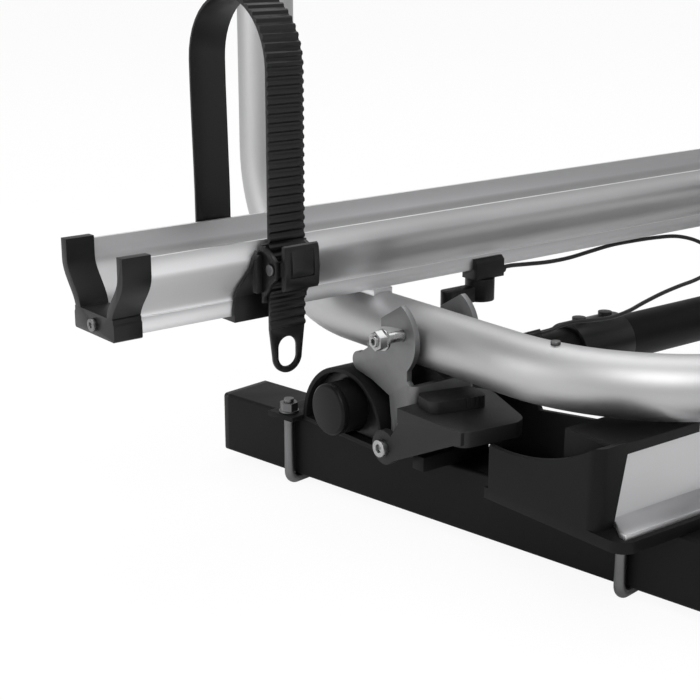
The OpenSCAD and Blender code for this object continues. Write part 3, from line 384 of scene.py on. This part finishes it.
def painted_slope_shade():
    """Mask of the leaning surfaces that get painted shade: nothing on upright and on flat ones."""
    group, given, out = new_group(
        "Painted slope shade",
        [("From", "NodeSocketFloat", 0.03), ("To", "NodeSocketFloat", 0.23)],
        [("Mask", "NodeSocketFloat")],
    )
    if given is None:
        return group
    nodes, links = group.nodes, group.links
    place = nodes.new("ShaderNodeTexCoord")
    parts = nodes.new("ShaderNodeSeparateXYZ")
    size = nodes.new("ShaderNodeMath")
    size.operation = "ABSOLUTE"
    rest = nodes.new("ShaderNodeMath")
    rest.operation = "SUBTRACT"
    rest.inputs[0].default_value = 1.0
    both = nodes.new("ShaderNodeMath")
    both.operation = "MULTIPLY"
    spread = nodes.new("ShaderNodeMapRange")
    spread.interpolation_type = "SMOOTHSTEP"
    links.new(place.outputs["Normal"], parts.inputs["Vector"])
    links.new(parts.outputs["Z"], size.inputs[0])
    links.new(size.outputs["Value"], rest.inputs[1])
    links.new(size.outputs["Value"], both.inputs[0])
    links.new(rest.outputs["Value"], both.inputs[1])
    links.new(both.outputs["Value"], spread.inputs["Value"])
    links.new(given.outputs["From"], spread.inputs["From Min"])
    links.new(given.outputs["To"], spread.inputs["From Max"])
    links.new(spread.outputs["Result"], out.inputs["Mask"])
    return group


def drawn_finish(name, colour, rough, strength, painted_shade=None):
    """Extruded aluminium: long streaks along X, and with painted_shade a darker painted shade where the
    wall leans.
    """
    if name in bpy.data.materials:
        return bpy.data.materials[name]
    material, tree, shader = new_finish(name)
    lines = place_group(tree, drawn_streaks(), Density=1.0)
    if painted_shade is None:
        shader.inputs["Base Color"].default_value = (*colour, 1.0)
    else:
        # Painted shade: the colour is darkened where the wall leans
        slope = place_group(tree, painted_slope_shade(), From=PAINTED_SHADE_FROM, To=PAINTED_SHADE_TO)
        tone = tone_between(tree, slope.outputs["Mask"], colour, shade(colour, painted_shade))
        tree.links.new(tone, shader.inputs["Base Color"])
    sheen = value_between(tree, lines.outputs["Height"], rough - 0.04, rough + 0.04)
    tree.links.new(sheen, shader.inputs["Roughness"])
    raise_surface(tree, shader, lines.outputs["Height"], strength, DRAWN_GRAIN)
    shader.inputs["Metallic"].default_value = 1.0
    return material


class CarrierSizes(bpy.types.PropertyGroup):
    """Widths of the rounded edges and the size of the cable"""

    moulded_edge: FloatProperty(
        name="Moulded edge", description="Rounding of the plastic mouldings' edges",
        default=0.0016, min=0.0, max=0.004, unit="LENGTH")
    sheet_edge: FloatProperty(
        name="Sheet edge", description="Rounding of the coated sheet's edges",
        default=0.0007, min=0.0, max=0.002, unit="LENGTH")
    metal_edge: FloatProperty(
        name="Metal edge", description="Rounding of machined and extruded edges",
        default=0.0004, min=0.0, max=0.001, unit="LENGTH")
    cable: FloatProperty(
        name="Cable", description="Diameter of the restraint cable with its sheath",
        default=0.0035, min=0.003, max=0.004, unit="LENGTH")


class CarrierFinishes(bpy.types.PropertyGroup):
    """Colours of the carrier's finishes"""

    tube: FloatVectorProperty(
        name="Tube", description="Satin anodised tube of the hoop", subtype="COLOR",
        default=(0.46, 0.46, 0.465), min=0.0, max=1.0)
    rail: FloatVectorProperty(
        name="Rail", description="Extruded wheel rail", subtype="COLOR",
        default=(0.74, 0.74, 0.75), min=0.0, max=1.0)
    coating: FloatVectorProperty(
        name="Coating", description="Black coating of beams and sheet", subtype="COLOR",
        default=(0.004, 0.004, 0.0042), min=0.0, max=1.0)
    plastic: FloatVectorProperty(
        name="Plastic", description="Black mouldings", subtype="COLOR",
        default=(0.0042, 0.0042, 0.0044), min=0.0, max=1.0)
    zinc: FloatVectorProperty(
        name="Zinc", description="Plated sheet of the hook", subtype="COLOR",
        default=(0.23, 0.232, 0.235), min=0.0, max=1.0)
    floor: FloatVectorProperty(
        name="Floor", description="Pale floor and backdrop", subtype="COLOR",
        default=(0.93, 0.93, 0.93), min=0.0, max=1.0)


def sizes():
    return bpy.context.scene.carrier_sizes


def finishes():
    return bpy.context.scene.carrier_finishes


def coating():
    return black_finish(
        "Black coating", tuple(finishes().coating), rough=0.46, grain=420.0, strength=0.2, marks=0.5,
        shine=0.13)


def plastic():
    return black_finish(
        "Black moulding", tuple(finishes().plastic), rough=0.37, grain=1400.0, strength=0.22, marks=0.4,
        shine=0.3)


def rubber():
    return black_finish(
        "Black rubber", (0.0065, 0.0065, 0.0065), rough=0.68, grain=900.0, strength=0.3, marks=0.6)


def tube_finish():
    return metal_finish(
        "Satin tube", tuple(finishes().tube), rough=0.5, grain=1100.0, strength=0.12, marks=0.25,
        darker=0.95, spread=0.06)


def rail_finish():
    # The rail's colour is darkened by painted shade where its walls lean
    return drawn_finish("Drawn rail", tuple(finishes().rail), rough=0.42, strength=0.05, painted_shade=0.62)


def bright_steel():
    return metal_finish(
        "Bright steel", (0.4, 0.402, 0.405), rough=0.28, grain=700.0, strength=0.08, marks=0.5,
        darker=0.7, spread=0.12)


def dull_zinc():
    return metal_finish(
        "Dull zinc", tuple(finishes().zinc), rough=0.54, grain=520.0, strength=0.3, marks=0.9,
        darker=0.72, spread=0.16)


def dark_zinc():
    return metal_finish(
        "Dark zinc", (0.2, 0.2, 0.205), rough=0.4, grain=600.0, strength=0.2, marks=0.7, darker=0.6)


def floor_finish():
    """Pale floor that the camera sees nearly white and the gloss sees dark."""
    material, tree, shader = new_finish("Studio floor")
    shader.inputs["Base Color"].default_value = (*finishes().floor, 1.0)
    shader.inputs["Roughness"].default_value = 0.9
    glow = tree.nodes.new("ShaderNodeEmission")
    glow.inputs["Color"].default_value = WHITE
    glow.inputs["Strength"].default_value = 1.0
    seen = tree.nodes.new("ShaderNodeMixShader")
    path = tree.nodes.new("ShaderNodeLightPath")
    mirrored = tree.nodes.new("ShaderNodeMath")
    mirrored.operation = "MULTIPLY"
    mirrored.inputs[1].default_value = FLOOR_MIRRORED
    share = tree.nodes.new("ShaderNodeMath")
    share.operation = "MULTIPLY_ADD"
    share.inputs[1].default_value = FLOOR_SEEN
    output = tree.nodes["Material Output"]
    tree.links.new(path.outputs["Is Glossy Ray"], mirrored.inputs[0])
    tree.links.new(path.outputs["Is Camera Ray"], share.inputs[0])
    tree.links.new(mirrored.outputs["Value"], share.inputs[2])
    tree.links.new(share.outputs["Value"], seen.inputs["Fac"])
    tree.links.new(shader.outputs["BSDF"], seen.inputs[1])
    tree.links.new(glow.outputs["Emission"], seen.inputs[2])
    tree.links.new(seen.outputs["Shader"], output.inputs["Surface"])
    return material


def light_world(scene):
    """Soft light from all round, with plain white where the camera looks past the floor."""
    world = scene.world or bpy.data.worlds.new("Studio")
    scene.world = world
    world.use_nodes = True
    sky = world.node_tree
    sky.nodes.clear()
    ray = sky.nodes.new("ShaderNodeLightPath")
    pick = sky.nodes.new("ShaderNodeMixShader")
    end = sky.nodes.new("ShaderNodeOutputWorld")
    sky.links.new(ray.outputs["Is Camera Ray"], pick.inputs["Fac"])
    for socket, strength in ((1, WORLD_LIGHT), (2, 1.0)):
        light = sky.nodes.new("ShaderNodeBackground")
        light.inputs["Color"].default_value = WHITE
        light.inputs["Strength"].default_value = strength
        sky.links.new(light.outputs["Background"], pick.inputs[socket])
    sky.links.new(pick.outputs["Shader"], end.inputs["Surface"])


def set_camera(scene):
    """Puts the camera where the photograph was taken."""
    bpy.ops.object.camera_add(location=CAMERA_AT)
    camera = bpy.context.object
    camera.name = "photograph_view"
    turn, down = math.radians(CAMERA_TURN), math.radians(CAMERA_DOWN)
    ahead = Vector((math.sin(turn) * math.cos(down), math.cos(turn) * math.cos(down), -math.sin(down)))
    camera.rotation_euler = ahead.to_track_quat("-Z", "Y").to_euler()
    camera.data.sensor_width = SENSOR_MM
    camera.data.lens = SENSOR_MM * FOCAL_PIXELS / PICTURE_PIXELS
    camera.data.clip_start = 0.05
    camera.data.clip_end = 60.0
    scene.camera = camera


class CARRIER_OT_stage(bpy.types.Operator):
    """Sets the floor, the lamps and the camera at the photograph's angle"""

    bl_idname = "carrier.stage"
    bl_label = "Stage"

    def execute(self, context):
        context.scene.view_settings.view_transform = "Standard"
        bpy.ops.object.select_all(action="DESELECT")
        bpy.ops.mesh.primitive_plane_add(size=FLOOR_SIZE, location=(0.0, 0.0, 0.0))
        floor = context.object
        floor.name = "studio_floor"
        bpy.ops.object.transform_apply(location=True, rotation=True, scale=True)
        put_finish(floor, floor_finish())
        light_world(context.scene)
        for name, place, aim, size, power in LAMPS:
            bpy.ops.object.light_add(type="AREA", location=place)
            lamp = context.object
            lamp.name = name
            lamp.data.size = size
            lamp.data.energy = power
            lamp.rotation_euler = (Vector(aim) - Vector(place)).to_track_quat("-Z", "Y").to_euler()
        set_camera(context.scene)
        return {"FINISHED"}


# The cable's route, from the left leg's axis and the rail's centre, in millimetres
CABLE_WAY = (
    (160, -19, 20), (185, -18, 18), (210, -18, 18), (235, -18, 20), (262, -18, 22), (290, -18, 22),
    (320, -18, 21), (345, -19, 19), (365, -22, 14), (378, -27, 7), (382, -32, -1), (376, -37, -9),
    (362, -42, -14), (342, -46, -16), (318, -49, -17), (292, -52, -19), (266, -54, -23), (246, -55, -27),
    (224, -55, -29), (200, -53, -28), (182, -48, -28),
)
# Its end in the clamp at the rail's lip, and the straight length there
CLAMP_X = 0.094 - LEG_X
CLAMP_HALF = 0.035
LIP_OUT = 0.0242
CLAMP_END = Vector((CLAMP_X + CLAMP_HALF, RAIL_Y + 0.002 - LIP_OUT, RAIL_Z - 0.003))
CLAMP_STRAIGHT = 0.009
# Its bolt on the cross tube, and the ferrule's height, length, straight cable, turn and rise in degrees
ANCHOR = Vector((0.137 - LEG_X, RAIL_Y - 0.027, CROSS_Z + 0.02))
FERRULE_UP = 0.0015
FERRULE_LONG = 0.025
FERRULE_STRAIGHT = 0.008
FERRULE_TURN = 28.0
FERRULE_RISE = 12.0
# Points between two marks of the route
CABLE_STEPS = 6


def curve_point(a, b, c, d, t):
    """Point between b and c of the smooth curve through four marks."""
    return 0.5 * (2 * b + (c - a) * t + (2 * a - 5 * b + 4 * c - d) * t * t
                  + (3 * b - a - 3 * c + d) * t * t * t)


def cable_points():
    """Points of the cable's middle line, from the clamp to the ferrule."""
    turn, rise = math.radians(FERRULE_TURN), math.radians(FERRULE_RISE)
    out = Vector((math.cos(turn) * math.cos(rise), -math.sin(turn) * math.cos(rise), math.sin(rise)))
    end = ANCHOR + Vector((0.0, 0.0, FERRULE_UP)) + FERRULE_LONG * out
    way = [Vector((x / 1000 - LEG_X, y / 1000 + RAIL_Y, z / 1000 + HOOP_Z)) for x, y, z in CABLE_WAY]
    leave = CLAMP_END + Vector((CLAMP_STRAIGHT, 0.0, 0.0))
    marks = [CLAMP_END, leave, *way, end + FERRULE_STRAIGHT * out, end]
    points = [marks[0]]
    for i in range(1, len(marks) - 2):
        points += [curve_point(*marks[i - 1:i + 3], k / CABLE_STEPS) for k in range(CABLE_STEPS)]
    return [*points, *marks[-2:]]


class CARRIER_OT_cable(bpy.types.Operator):
    """Makes the black restraint cable as a smooth curve between its clamp and its ferrule"""

    bl_idname = "carrier.cable"
    bl_label = "Restraint cable"

    def execute(self, context):
        points = cable_points()
        curve = bpy.data.curves.new("restraint_cable_sheath", "CURVE")
        curve.dimensions = "3D"
        line = curve.splines.new("POLY")
        line.points.add(len(points) - 1)
        for spot, point in zip(line.points, points):
            spot.co = (*point, 1.0)
        curve.bevel_depth = sizes().cable / 2
        curve.bevel_resolution = 5
        curve.use_fill_caps = True
        cable = bpy.data.objects.new("restraint_cable_sheath", curve)
        context.scene.collection.objects.link(cable)
        sheath = black_finish("Cable sheath", (0.01, 0.01, 0.01), rough=0.3, grain=260.0, strength=0.1,
                              marks=0.3)
        cable.data.materials.append(sheath)
        only(cable)
        bpy.ops.object.convert(target="MESH")
        bpy.ops.object.shade_smooth()
        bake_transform(cable)
        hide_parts("restraint_cable")
        return {"FINISHED"}


class CARRIER_OT_beams(bpy.types.Operator):
    """Dresses the base beams with their plugs, the cross tube, the saddles and the buffers"""

    bl_idname = "carrier.beams"
    bl_label = "Base beams and saddles"

    def execute(self, context):
        edge = sizes().moulded_edge
        for side in ("left", "right"):
            dress(f"base_beam_{side}", f"beam_{side}", coating(), 0.0)
            dress(f"saddle_{side}", f"saddle_arch_{side}", coating(), sizes().sheet_edge)
        dress("beam_plugs", "beam_end_plugs", plastic(), edge * 0.7)
        dress("rear_cross_tube", "cross_tube", coating(), 0.0)
        cap = black_finish("Glossy cap", (0.005, 0.005, 0.005), rough=0.32, grain=900.0, strength=0.12,
                           marks=0.3, shine=0.12)
        dress("cross_tube_caps", "tube_caps", cap, THIN_EDGE)
        dress("tube_cradles", "cradle_blocks", plastic(), edge)
        dress("rest_buffers", "leg_buffers", rubber(), BLOCK_EDGE)
        dress("tube_sleeve", "sleeve", plastic(), BLOCK_EDGE)
        return {"FINISHED"}


class CARRIER_OT_front(bpy.types.Operator):
    """Dresses the front profile, its brackets and the bearings of the tilt axis"""

    bl_idname = "carrier.front"
    bl_label = "Front frame and bearings"

    def execute(self, context):
        profile = drawn_finish("Plain extrusion", (0.62, 0.62, 0.63), rough=0.42, strength=0.16)
        dress("front_profile", "cross_profile", profile, sizes().metal_edge)
        for side in ("left", "right"):
            dress(f"front_bracket_{side}", f"bracket_{side}", coating(), BLOCK_EDGE,
                  segments=3)
        edge = sizes().moulded_edge * 0.6
        dress("bearing_blocks", "bearing_feet", plastic(), edge)
        dress("bearing_caps", "bearing_tops", plastic(), edge)
        return {"FINISHED"}


def leg_rivet():
    """Models the small rivet on the left leg: a stepped head with a dent in its middle."""
    bpy.ops.object.select_all(action="DESELECT")
    bpy.ops.mesh.primitive_cylinder_add(vertices=40, radius=RIVET_R, depth=RIVET_H, location=RIVET_AT)
    head = bpy.context.object
    head.name = "leg_rivet"
    bpy.ops.object.transform_apply(location=True, rotation=True, scale=True)
    for face in head.data.polygons:
        face.select = face.normal.z > 0.9
    bpy.ops.object.mode_set(mode="EDIT")
    for inwards, upwards in ((RIVET_RIM, RIVET_STEP), (RIVET_FACE, -RIVET_DENT)):
        bpy.ops.mesh.inset(thickness=RIVET_R * inwards)
        bpy.ops.mesh.extrude_region_move(TRANSFORM_OT_translate={"value": (0.0, 0.0, RIVET_H * upwards)})
    bpy.ops.object.mode_set(mode="OBJECT")
    soften_edges(head, RIVET_R * RIVET_EDGE, 3, SHARP)
    put_finish(head, dark_zinc())
    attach(head, "tilt_frame")


class CARRIER_OT_hoop(bpy.types.Operator):
    """Gives the hoop's eight lengths of tube their satin finish and adds the rivet on the left leg"""

    bl_idname = "carrier.hoop"
    bl_label = "Hoop"

    def execute(self, context):
        for node in ("hoop_leg_left", "hoop_leg_right", "hoop_front_bends", "hoop_front_tube",
                     "hoop_rear_bends", "hoop_uprights", "hoop_top_bends", "hoop_top_bar"):
            dress(node, node.replace("hoop_", "tube_"), tube_finish(), 0.0)
        leg_rivet()
        return {"FINISHED"}


class CARRIER_OT_rail(bpy.types.Operator):
    """Dresses the wheel rail, its seats on the legs and the black end caps"""

    bl_idname = "carrier.rail"
    bl_label = "Wheel rail"

    def execute(self, context):
        dress("wheel_rail", "rail_extrusion", rail_finish(), FINE_EDGE, sharp=40)
        dress("rail_seats", "seat_blocks", rail_finish(), sizes().metal_edge)
        dress("rail_end_caps", "end_caps", plastic(), END_CAP_EDGE, segments=3,
              merge=MERGE_COARSE)
        return {"FINISHED"}


class CARRIER_OT_straps(bpy.types.Operator):
    """Dresses the toothed wheel straps, their holders and anchors"""

    bl_idname = "carrier.straps"
    bl_label = "Wheel straps"

    def execute(self, context):
        band = black_finish("Strap rubber", (0.0042, 0.0042, 0.0043), rough=0.36, grain=1100.0,
                            strength=0.22, marks=0.35)
        for side in ("left", "right"):
            dress(f"wheel_strap_{side}", f"strap_{side}", band, STRAP_EDGE, sharp=28)
        dress("strap_holders", "holder_plates", plastic(), BLOCK_EDGE)
        dress("strap_anchors", "anchor_clips", plastic(), CLIP_EDGE)
        return {"FINISHED"}


class CARRIER_OT_buckles(bpy.types.Operator):
    """Dresses the ratchet buckles and their levers"""

    bl_idname = "carrier.buckles"
    bl_label = "Buckles"

    def execute(self, context):
        glossy = black_finish("Buckle moulding", (0.0045, 0.0045, 0.0047), rough=0.3, grain=1500.0,
                              strength=0.15, marks=0.4)
        dress("buckle_frames", "buckle_cheeks", glossy, CHEEK_EDGE)
        for side in ("left", "right"):
            dress(f"buckle_lever_{side}", f"lever_{side}", glossy, LEVER_EDGE, segments=3,
                  merge=MERGE_COARSE)
        dress("buckle_pins", "lever_pins", dark_zinc(), FINE_EDGE)
        return {"FINISHED"}


class CARRIER_OT_latch(bpy.types.Operator):
    """Dresses the hook, the foot pedal with its pad, the latch base and the spring"""

    bl_idname = "carrier.latch"
    bl_label = "Latch and pedal"

    def execute(self, context):
        dress("latch_hook", "hook_plates", dull_zinc(), HOOK_EDGE)
        pedal = black_finish("Pedal moulding", (0.009, 0.009, 0.0092), rough=0.5, grain=900.0, strength=0.3,
                             marks=0.4, shine=0.3)
        dress("foot_pedal", "pedal_shell", pedal, sizes().moulded_edge, segments=3,
              merge=MERGE_COARSE)
        dress("pedal_pad", "pad_block", pedal, GRIP_EDGE, segments=3, merge=MERGE_COARSE)
        dress("latch_base", "base_sheet", coating(), sizes().sheet_edge)
        coil = dress("latch_spring", "spring_coil", bright_steel(), 0.0, sharp=60)
        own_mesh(coil)
        return {"FINISHED"}


class CARRIER_OT_clamp(bpy.types.Operator):
    """Dresses the cable's clamp, its wing knob, the ferrule and the dome bolt"""

    bl_idname = "carrier.clamp"
    bl_label = "Cable clamp and anchor"

    def execute(self, context):
        dress("cable_clamp", "clamp_jaw", plastic(), CLIP_EDGE)
        dress("clamp_knob", "wing_knob", plastic(), sizes().moulded_edge, segments=3)
        dress("cable_ferrule", "ferrule", plastic(), HOOK_EDGE)
        dress("anchor_bolt", "dome_bolt", coating(), NUT_EDGE)
        return {"FINISHED"}


class CARRIER_OT_arm(bpy.types.Operator):
    """Dresses the bike arm on the top bar, with its jaw, pads and star knob"""

    bl_idname = "carrier.arm"
    bl_label = "Bike arm"

    def execute(self, context):
        dress("arm_collar", "collar", plastic(), sizes().moulded_edge)
        dress("arm_tube", "arm_pipe", coating(), 0.0)
        dress("arm_jaw", "jaw_bracket", coating(), CLIP_EDGE, segments=3)
        dress("jaw_pad", "jaw_rubber", rubber(), THIN_EDGE)
        dress("pressure_pad", "pad_rubber", rubber(), BLOCK_EDGE)
        dress("arm_knob", "star_knob", plastic(), GRIP_EDGE, segments=3)
        return {"FINISHED"}


class CARRIER_OT_fasteners(bpy.types.Operator):
    """Dresses the U-bolts, nuts, bolts, pins and screws"""

    bl_idname = "carrier.fasteners"
    bl_label = "Fasteners"

    def execute(self, context):
        dress("u_bolts", "u_bolt_rods", dark_zinc(), 0.0)
        dress("u_bolt_nuts", "u_bolt_hex", dark_zinc(), NUT_EDGE)
        dress("end_cap_screws", "cap_screws", dark_zinc(), FINE_EDGE)
        for node, name in (("latch_pivot_bolt", "pivot_bolt"), ("latch_pivot_nut", "pivot_nut"),
                           ("cross_pin", "pin_rod"), ("cross_pin_nut", "pin_hex"),
                           ("bearing_bolts", "bearing_screws"),
                           ("rail_bolts", "rail_screws"), ("arm_screw", "collar_screw")):
            dress(node, name, bright_steel(), FINE_EDGE)
        return {"FINISHED"}


OPERATORS = (
    CARRIER_OT_stage, CARRIER_OT_cable, CARRIER_OT_beams, CARRIER_OT_front, CARRIER_OT_hoop,
    CARRIER_OT_rail, CARRIER_OT_straps, CARRIER_OT_buckles, CARRIER_OT_latch, CARRIER_OT_clamp,
    CARRIER_OT_arm, CARRIER_OT_fasteners,
)


class CARRIER_PT_panel(bpy.types.Panel):
    """Lists the carrier's pieces, sizes and colours"""

    bl_label = "Bike carrier"
    bl_space_type = "VIEW_3D"
    bl_region_type = "UI"
    bl_category = "Carrier"

    def draw(self, context):
        for group in (context.scene.carrier_sizes, context.scene.carrier_finishes):
            box = self.layout.box()
            for name in group.__annotations__:
                box.prop(group, name)
        for operator in OPERATORS:
            self.layout.operator(operator.bl_idname)


CLASSES = (CarrierSizes, CarrierFinishes, *OPERATORS, CARRIER_PT_panel)


def register():
    for item in CLASSES:
        bpy.utils.register_class(item)
    bpy.types.Scene.carrier_sizes = PointerProperty(type=CarrierSizes)
    bpy.types.Scene.carrier_finishes = PointerProperty(type=CarrierFinishes)


def unregister():
    del bpy.types.Scene.carrier_finishes
    del bpy.types.Scene.carrier_sizes
    for item in reversed(CLASSES):
        bpy.utils.unregister_class(item)


def main():
    register()
    for operator in OPERATORS:
        family, name = operator.bl_idname.split(".")
        getattr(getattr(bpy.ops, family), name)()


if __name__ == "__main__":
    main()
